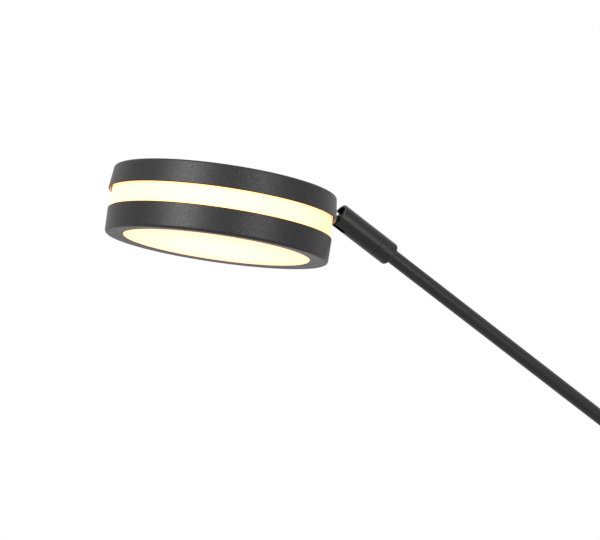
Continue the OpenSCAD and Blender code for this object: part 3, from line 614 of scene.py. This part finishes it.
def make_cap():
    """Thin flared cup with a tight top edge, a softened rim and the slot of the tongue."""
    wall = CAP_T / math.cos(CAP_FLARE)
    rim = CAP_T / 2
    rim_r = CAP_RIM_R - rim / math.cos(CAP_FLARE)
    flare = math.degrees(CAP_FLARE)
    bend_z = CAP_TOP_Z - CAP_EDGE_R
    inner_r = CAP_EDGE_R / 2
    middle = CAP_RIM_R / 2
    outline = (
        [(0, CAP_TOP_Z - CAP_T), (middle, CAP_TOP_Z - CAP_T)]
        + arc(cap_r(CAP_TOP_Z - CAP_T) - wall - inner_r, CAP_TOP_Z - CAP_T - inner_r, inner_r, 90, flare)
        + arc(rim_r, CAP_RIM_Z + rim, rim, 180 + flare, 360 + flare, steps=10)
        + arc(cap_r(bend_z) - CAP_EDGE_R / math.cos(CAP_FLARE), bend_z, CAP_EDGE_R, flare, 90)
        + [(middle, CAP_TOP_Z), (0, CAP_TOP_Z)]
    )
    cap = spun("cap_shell", outline, WIDE_STEPS)
    half = TONGUE_T / 2 + MOVE_GAP
    low = HEAD_PIVOT_H - TONGUE_R - MOVE_GAP
    high = HEAD_PIVOT_H + TONGUE_R + MOVE_GAP
    slot_low = (TONGUE_FOOT_X + TONGUE_FOOT_L, -half, low)
    slot_high = (CAP_RIM_R + TONGUE_SLOT_PAST, half, high)
    carve(cap, block("slot_cut", slot_low, slot_high))
    fit(cap, ["top_cap"], "light_head", "powder_coat", head_place)
    cap.data.materials.append(FINISHES["cap_inside"])
    back = head_place.inverted()
    for face in cap.data.polygons:
        spot = back @ face.center / MM
        inside = math.hypot(spot.x, spot.y) < cap_r(spot.z) - CAP_SKIN
        if inside and spot.z < CAP_TOP_Z - CAP_SKIN:
            face.material_index = 1


def ring_out(z):
    return RING_R - (RING_H - z) * math.tan(RING_DRAFT)


def make_ring():
    """Bezel ring: drafted side, rounded edges, seat of the band above and rounded lip below."""
    draft = math.degrees(RING_DRAFT)
    lip = BAND_R + LIP_GAP
    seat = BAND_LOW - SEAT_GAP
    shelf = seat - SHELF_T
    outline = (
        [(OPENING_R, RING_FLANGE_T)]
        + arc(OPENING_R + LIP_ROUND, FACE_RISE + LIP_ROUND, LIP_ROUND, 180, 270, steps=8)
        + arc(ring_out(RING_LOW_R) - RING_LOW_R, RING_LOW_R, RING_LOW_R, -90, -draft)
        + arc(ring_out(RING_H - RING_TOP_R) - RING_TOP_R, RING_H - RING_TOP_R, RING_TOP_R, -draft, 90)
        + [(lip, RING_H), (lip, seat), (BAND_R - BAND_T, seat), (BAND_R - BAND_T, shelf)]
        + [(RING_IN, shelf), (RING_IN, RING_FLANGE_T)]
    )
    fit(spun("bezel_ring", outline, WIDE_STEPS), ["lower_ring"], "light_head", "powder_coat", head_place)


def make_band():
    outline = rounded_bar(BAND_R - BAND_T, BAND_R, BAND_LOW, BAND_TOP, BAND_EDGE_R, BAND_EDGE_R)
    band = spun("lit_band", outline, WIDE_STEPS)
    fit(band, ["band_diffuser"], "light_head", "opal_band", head_place)


def make_disc():
    """Stepped disc in the opening of the ring, its face bulged a little."""
    step = OPENING_R - SEAT_GAP
    flange = RING_IN - MOVE_GAP
    edge = step - DISC_ROUND
    turn = 2 * math.atan(DISC_BULGE / edge)
    sphere = edge / math.sin(turn) + DISC_ROUND
    lean = math.degrees(turn) - 90
    outline = (
        arc(0, DISC_FACE_Z - DISC_BULGE + sphere, sphere, -90, lean, steps=8)[:-1]
        + arc(edge, DISC_FACE_Z + DISC_ROUND, DISC_ROUND, lean, 0, steps=4)
        + [(step, DISC_FLANGE_Z), (flange, DISC_FLANGE_Z), (flange, DISC_TOP_Z), (0, DISC_TOP_Z)]
    )
    disc = spun("lit_disc", outline, WIDE_STEPS)
    fit(disc, ["bottom_diffuser"], "light_head", "opal_disc", head_place)


def make_tongue():
    """Flat tongue with a round end for the pin and a foot under the cap."""
    end = (HEAD_REACH, 0, HEAD_PIVOT_H)
    half = TONGUE_T / 2
    low = (TONGUE_FOOT_X, -half, HEAD_PIVOT_H - TONGUE_R)
    high = (HEAD_REACH, half, HEAD_PIVOT_H + TONGUE_NECK)
    tongue = block("head_plate", low, high)
    carve(tongue, rod("round_end", TONGUE_R, TONGUE_T, end, (90, 0, 0)), "UNION")
    foot_low = (TONGUE_FOOT_X, -TONGUE_FOOT_W / 2, TONGUE_FOOT_Z)
    foot_high = (TONGUE_FOOT_X + TONGUE_FOOT_L, TONGUE_FOOT_W / 2, TONGUE_FOOT_Z + TONGUE_FOOT_T)
    carve(tongue, block("foot", foot_low, foot_high), "UNION")
    carve(tongue, rod("pin_cut", HEAD_PIN_R + RUN_CLEAR, 2 * TONGUE_T, end, (90, 0, 0), PIN_SIDES))
    tidy(tongue)
    soften(tongue, TONGUE_EDGE)
    fit(tongue, ["head_tongue"], "light_head", "powder_coat", head_place)


def slotted_barrel(name, radius, length, nose, tongue_r, pin_r, bush_r, cavity_l, slot_back):
    """Barrel with the hinge at the origin: slot, pin hole, room for the bush and lead passage."""
    seat = nose - length
    floor = -tongue_r - MOVE_GAP
    roof = seat + cavity_l
    past = radius + CUT_PAST
    barrel = spun(name, rounded_bar(0, radius, seat, nose, SEAM_EDGE_R, EDGE_R), TUBE_STEPS)
    slot_high = (slot_back, SLOT_W / 2, nose + CUT_PAST)
    carve(barrel, block("slot_cut", (-past, -SLOT_W / 2, floor), slot_high))
    pin_l = past + radius - PIN_COVER
    pin_middle = (0, past - pin_l / 2, 0)
    carve(barrel, rod("pin_cut", pin_r + FIT_CLEAR, pin_l, pin_middle, (90, 0, 0), PIN_SIDES))
    carve(barrel, rod("bush_cut", bush_r, 2 * cavity_l, (0, 0, seat), (0, 0, 0)))
    lead_l = floor - roof + CUT_PAST
    carve(barrel, rod("lead_cut", LEAD_R, lead_l, (0, 0, (floor + roof) / 2), (0, 0, 0), LEAD_SIDES))
    return barrel


def make_knuckle():
    """Slotted barrel, closed above, with counterbore and lead notch, and the collar at the seam."""
    closed_at = TONGUE_R + MOVE_GAP
    barrel = slotted_barrel("knuckle_cheeks", KNUCKLE_R, KNUCKLE_L, KNUCKLE_NOSE, TONGUE_R, HEAD_PIN_R,
                            KNUCKLE_BUSH_R, KNUCKLE_CAVITY_L, closed_at)
    carve(barrel, rod("nose_cut", NOSE_BORE_R, 2 * NOSE_BORE_DEPTH, (0, 0, KNUCKLE_NOSE), (0, 0, 0)))
    notch_low = (NOTCH_OFFSET - NOTCH_W / 2, 0, KNUCKLE_NOSE - NOTCH_DEPTH)
    notch_high = (NOTCH_OFFSET + NOTCH_W / 2, KNUCKLE_R + CUT_PAST, KNUCKLE_NOSE + CUT_PAST)
    carve(barrel, block("notch_cut", notch_low, notch_high))
    tidy(barrel)
    soften(barrel, KNUCKLE_EDGE)
    fit(barrel, ["knuckle_barrel"], "knuckle", "powder_coat", knuckle_place, finish="fine_coat")

    socket_r = ROD_R + FIT_CLEAR
    stud_r = KNUCKLE_STUD_R + FIT_CLEAR
    outline = (
        [(socket_r, KNUCKLE_END)]
        + arc(COLLAR_R - COLLAR_ROUND, KNUCKLE_END + COLLAR_ROUND, COLLAR_ROUND, -90, 0, steps=9)
        + arc(COLLAR_R - SEAM_EDGE_R, KNUCKLE_FACE - SEAM_EDGE_R, SEAM_EDGE_R, 0, 90, steps=4)
        + [(stud_r, KNUCKLE_FACE), (stud_r, KNUCKLE_END + SOCKET_L), (socket_r, KNUCKLE_END + SOCKET_L)]
    )
    sleeve = spun("knuckle_sleeve", outline, COLLAR_STEPS)
    fit(sleeve, ["knuckle_collar"], "arm", "powder_coat", arm_place, finish="fine_coat")


def make_arm():
    """Tube of the arm, and its lower collar with the tongue that sits in the barrel on the pole."""
    top = ARM_TONGUE_L + LOWER_COLLAR_L
    socket = top - SOCKET_L
    low = socket + SEAT_GAP
    high = KNUCKLE_END + SOCKET_L - SEAT_GAP
    outline = rounded_bar(ROD_BORE_R, ROD_R, low, high, TUBE_END_R, TUBE_END_R)
    tube = spun("arm_tube", outline, SLIM_STEPS)
    fit(tube, ["arm_rod"], "arm", "powder_coat", arm_place, finish="fine_coat")

    socket_r = ROD_R + FIT_CLEAR
    outline = (
        [(0, ARM_TONGUE_L)]
        + arc(COLLAR_R - EDGE_R, ARM_TONGUE_L + EDGE_R, EDGE_R, -90, 0)
        + arc(COLLAR_R - COLLAR_ROUND, top - COLLAR_ROUND, COLLAR_ROUND, 0, 90, steps=9)
        + [(socket_r, top), (socket_r, socket), (0, socket)]
    )
    collar = spun("arm_foot", outline, TUBE_STEPS)
    half = TONGUE_T / 2
    tongue_high = (ARM_TONGUE_R, half, ARM_TONGUE_L + ARM_TONGUE_ROOT)
    carve(collar, block("tongue", (-ARM_TONGUE_R, -half, 0), tongue_high), "UNION")
    carve(collar, rod("round_end", ARM_TONGUE_R, TONGUE_T, (0, 0, 0), (90, 0, 0)), "UNION")
    carve(collar, rod("pin_cut", ARM_PIN_R + RUN_CLEAR, 2 * TONGUE_T, (0, 0, 0), (90, 0, 0), PIN_SIDES))
    tidy(collar)
    soften(collar, ARM_FOOT_EDGE)
    fit(collar, ["arm_tongue"], "arm", "powder_coat", arm_place, finish="fine_coat")


def make_pole():
    """Two tubes with the ring between them, the collar at the foot and the slotted barrel on top."""
    split_top = POLE_SPLIT_Z + COUPLER_RING_H
    lower_top = POLE_SPLIT_Z - SEAT_GAP
    lower = rounded_bar(POLE_BORE_R, POLE_R, POLE_FOOT_Z, lower_top, TUBE_END_R, COUPLER_EDGE_R)
    fit(spun("lower_tube", lower, TUBE_STEPS), ["lower_pole"], "stand", "powder_coat")
    upper_low = split_top + SEAT_GAP
    upper = rounded_bar(POLE_BORE_R, POLE_R, upper_low, POLE_TOP_Z, COUPLER_EDGE_R, SEAM_EDGE_R)
    fit(spun("upper_tube", upper, TUBE_STEPS), ["upper_pole"], "stand", "powder_coat")
    plug_r = POLE_BORE_R - FIT_CLEAR
    ring = (
        [(COUPLER_BORE_R, POLE_SPLIT_Z - COUPLER_GRIP), (plug_r, POLE_SPLIT_Z - COUPLER_GRIP)]
        + rounded_bar(plug_r, POLE_R, POLE_SPLIT_Z, split_top, COUPLER_EDGE_R, COUPLER_EDGE_R)
        + [(plug_r, split_top + COUPLER_GRIP), (COUPLER_BORE_R, split_top + COUPLER_GRIP)]
    )
    fit(spun("tube_joint", ring, TUBE_STEPS), ["pole_coupler"], "stand", "powder_coat")
    collar_bore = POLE_R + POLE_COLLAR_GAP
    collar_top = BASE_H + POLE_COLLAR_H
    collar = rounded_bar(collar_bore, POLE_COLLAR_R, POLE_FOOT_Z, collar_top,
                         POLE_COLLAR_FOOT_R, POLE_COLLAR_EDGE)
    fit(spun("foot_collar", collar, COLLAR_STEPS), ["pole_collar"], "stand", "powder_coat")

    barrel = slotted_barrel("pole_cheeks", POLE_JOINT_R, POLE_JOINT_L, POLE_JOINT_NOSE, ARM_TONGUE_R,
                            ARM_PIN_R, POLE_BUSH_R, POLE_CAVITY_L, POLE_JOINT_R + CUT_PAST)
    tidy(barrel)
    soften(barrel, POLE_JOINT_EDGE)
    fit(barrel, ["pole_barrel"], "pole_joint", "powder_coat", Matrix.Translation(POLE_PIVOT))


def make_pin(name, node, body, radius, barrel_r, place):
    """Hinge pin with a socket for a key in its open end."""
    low = PIN_COVER + SEAT_GAP - barrel_r
    high = barrel_r - PIN_RECESS
    pin = spun(name, rounded_bar(0, radius, low, high, PIN_EDGE_R, PIN_EDGE_R), PIN_STEPS)
    key_r = radius * KEY_SHARE
    carve(pin, rod("key_cut", key_r, 2 * radius, (0, 0, high), (0, 0, 0), KEY_SIDES))
    across = Matrix.Rotation(-math.pi / 2, 4, "X")
    fit(pin, [node], body, "zinc_steel", place @ across)


def make_base():
    """Pressed cover with a rounded shoulder over a soft pad, with the holes for the switch and the cord."""
    inner = BASE_R - COVER_T
    shoulder = BASE_EDGE_R - COVER_T
    under = BASE_H - COVER_T
    outline = (
        [(STUD_HOLE_R, under), (BASE_R / 2, under)]
        + arc(inner - shoulder, under - shoulder, shoulder, 90, 0)
        + [(inner, PAD_T), (BASE_R - COVER_EDGE, PAD_T), (BASE_R, PAD_T + COVER_EDGE)]
        + arc(BASE_R - BASE_EDGE_R, BASE_H - BASE_EDGE_R, BASE_EDGE_R, 0, 90, steps=12)
        + [(BASE_R / 2, BASE_H), (STUD_HOLE_R, BASE_H)]
    )
    shell = spun("base_shell", outline, WIDE_STEPS)
    switch_r = SLEEVE_R + COVER_HOLE_GAP
    switch_at = (0, -SWITCH_REACH, BASE_H)
    carve(shell, rod("switch_cut", switch_r, 2 * CUT_PAST, switch_at, (0, 0, 0), SWITCH_SIDES))
    gland_r = GLAND_R + COVER_HOLE_GAP
    carve(shell, rod("gland_cut", gland_r, 4 * CUT_PAST, (BASE_R, 0, GLAND_Z), (0, 90, 0)))
    fit(shell, ["base_cover"], "stand", "powder_coat")
    pad = spun("floor_pad", rounded_bar(0, PAD_R, 0, PAD_T, PAD_LOW_R, PAD_TOP_R), WIDE_STEPS)
    fit(pad, ["base_pad"], "stand", "soft_pad")


def make_switch():
    """Foot button with a shallow dish, in the ring that guides it."""
    place = Matrix.Translation((0, -SWITCH_REACH * MM, 0))
    bore = BUTTON_R + RUN_CLEAR
    roomy = BUTTON_LIP_R + MOVE_GAP
    roof = BUTTON_LOW_Z + BUTTON_LIP_H + MOVE_GAP
    flange_z = BASE_H + SEAT_GAP
    ring = (
        [(bore, roof), (roomy, roof), (roomy, SLEEVE_Z), (SLEEVE_R, SLEEVE_Z), (SLEEVE_R, flange_z)]
        + [(BEZEL_R, flange_z)]
        + arc(BEZEL_R - BEZEL_ROUND, BEZEL_Z - BEZEL_ROUND, BEZEL_ROUND, 0, 90)
        + arc(bore + BEZEL_MOUTH_R, BEZEL_Z - BEZEL_MOUTH_R, BEZEL_MOUTH_R, 90, 180, steps=4)
    )
    fit(spun("switch_ring", ring, COLLAR_STEPS), ["switch_bezel"], "stand", "black_plastic", place)
    lip_top = BUTTON_LOW_Z + BUTTON_LIP_H
    dish_r = BUTTON_R - DISH_INSET
    button = (
        [(0, BUTTON_LOW_Z), (BUTTON_LIP_R, BUTTON_LOW_Z), (BUTTON_LIP_R, lip_top), (BUTTON_R, lip_top)]
        + arc(BUTTON_R - BUTTON_EDGE_R, BUTTON_TOP_Z - BUTTON_EDGE_R, BUTTON_EDGE_R, 0, 90)
        + [(dish_r, BUTTON_TOP_Z), (dish_r - DISH_EDGE, BUTTON_TOP_Z - DISH_EDGE_DEPTH)]
        + [(dish_r / 2, BUTTON_TOP_Z - DISH_HALF_DEPTH), (0, BUTTON_TOP_Z - DISH_DEPTH)]
    )
    push = spun("push_button", button, COLLAR_STEPS)
    fit(push, ["switch_button"], "foot_button", "black_plastic", place)


def make_gland():
    """Sleeve with a rounded flange and a softened mouth where a cord comes in."""
    face = SEAT_GAP + GLAND_FLANGE_T
    flange_round = GLAND_FLANGE_T / 2
    outline = (
        [(GLAND_BORE_R, -GLAND_DEPTH), (GLAND_R, -GLAND_DEPTH)]
        + [(GLAND_R, SEAT_GAP), (GLAND_FLANGE_R, SEAT_GAP)]
        + arc(GLAND_FLANGE_R - flange_round, face - flange_round, flange_round, 0, 90)
        + arc(GLAND_BORE_R + GLAND_MOUTH_R, face - GLAND_MOUTH_R, GLAND_MOUTH_R, 90, 180, steps=5)
    )
    place = Matrix.Translation(Vector((BASE_R, 0, GLAND_Z)) * MM) @ Matrix.Rotation(math.pi / 2, 4, "Y")
    fit(spun("cord_sleeve", outline, SLIM_STEPS), ["cord_gland"], "stand", "black_plastic", place)


make_cap()
make_ring()
make_band()
make_disc()
make_tongue()
make_knuckle()
make_pin("head_hinge_pin", "head_pin", "knuckle", HEAD_PIN_R, KNUCKLE_R, knuckle_place)
make_arm()
make_pole()
make_pin("arm_hinge_pin", "arm_pin", "pole_joint", ARM_PIN_R, POLE_JOINT_R, Matrix.Translation(POLE_PIVOT))
make_base()
make_switch()
make_gland()

# Floor, lights and the white surround, distances on the floor in millimetres
FLOOR_R = 11000
FLOOR_SIDES = 128
FLOOR_NEAR = 700
FLOOR_FAR = 3200
FLOOR_NEAR_WHITE = 0.6
SURROUND_LIGHT = 0.3


def white_for(tree):
    """1 for the rays that show the background: of the camera, mirrored, or through glass."""
    rays = tree.nodes.new("ShaderNodeLightPath")
    shown = rays.outputs["Is Camera Ray"]
    for kind in ("Is Glossy Ray", "Is Transmission Ray"):
        either = tree.nodes.new("ShaderNodeMath")
        either.operation = "MAXIMUM"
        tree.links.new(shown, either.inputs[0])
        tree.links.new(rays.outputs[kind], either.inputs[1])
        shown = either.outputs["Value"]
    return shown


bpy.ops.object.select_all(action="DESELECT")
bpy.ops.mesh.primitive_circle_add(vertices=FLOOR_SIDES, radius=FLOOR_R * MM, fill_type="NGON")
floor = bpy.context.object
floor.name = "studio_floor"
pale, tree, shader, place = new_finish("pale_floor")
mottle = noise(tree, place, scale=3, detail=3, rough=0.5)
tree.links.new(ramp(tree, mottle, [(0.3, (0.80, 0.80, 0.80)), (0.7, (0.83, 0.83, 0.83))]),
               shader.inputs["Base Color"])
shader.inputs["Roughness"].default_value = 0.8
paper = tree.nodes.new("ShaderNodeEmission")
blend = tree.nodes.new("ShaderNodeMixShader")
fade = tree.nodes.new("ShaderNodeMath")
fade.operation = "MULTIPLY"
tree.links.new(white_for(tree), fade.inputs[0])
away = from_axis(tree, place, FLOOR_NEAR, FLOOR_FAR)
tree.links.new(between(tree, away, 0, 1, FLOOR_NEAR_WHITE, 1), fade.inputs[1])
tree.links.new(fade.outputs["Value"], blend.inputs["Fac"])
tree.links.new(shader.outputs["BSDF"], blend.inputs[1])
tree.links.new(paper.outputs["Emission"], blend.inputs[2])
tree.links.new(blend.outputs["Shader"], tree.nodes["Material Output"].inputs["Surface"])
floor.data.materials.append(pale)


def soft_light(name, side, up, front, distance, width, height, power):
    """A soft panel that faces the head, placed as seen from the camera: to the side, above and in front."""
    toward = (rightward * side + upward * up - looking * front).normalized()
    bpy.ops.object.select_all(action="DESELECT")
    bpy.ops.object.light_add(type="AREA", location=head_foot + toward * distance)
    panel = bpy.context.object
    panel.name = name
    panel.rotation_euler = toward.to_track_quat("Z", "Y").to_euler()
    panel.data.shape = "RECTANGLE"
    panel.data.size = width
    panel.data.size_y = height
    panel.data.energy = power


soft_light("left_panel", side=-0.53, up=0.36, front=0.768, distance=1.4, width=0.52, height=1.4, power=25.5)
soft_light("right_panel", side=0.667, up=0.208, front=0.715, distance=1.4, width=0.28, height=1.4, power=11)

world = bpy.data.worlds.new("white_surround")
bpy.context.scene.world = world
world.use_nodes = True
sky = world.node_tree
sky.nodes.clear()
lighting = sky.nodes.new("ShaderNodeBackground")
lighting.inputs["Color"].default_value = (0.97, 0.98, 1.0, 1)
lighting.inputs["Strength"].default_value = SURROUND_LIGHT
white = sky.nodes.new("ShaderNodeBackground")
white.inputs["Color"].default_value = (1, 1, 1, 1)
white.inputs["Strength"].default_value = 1
choice = sky.nodes.new("ShaderNodeMixShader")
sky.links.new(white_for(sky), choice.inputs["Fac"])
sky.links.new(lighting.outputs["Background"], choice.inputs[1])
sky.links.new(white.outputs["Background"], choice.inputs[2])
surround = sky.nodes.new("ShaderNodeOutputWorld")
sky.links.new(choice.outputs["Shader"], surround.inputs["Surface"])
bpy.context.scene.view_settings.view_transform = "Standard"
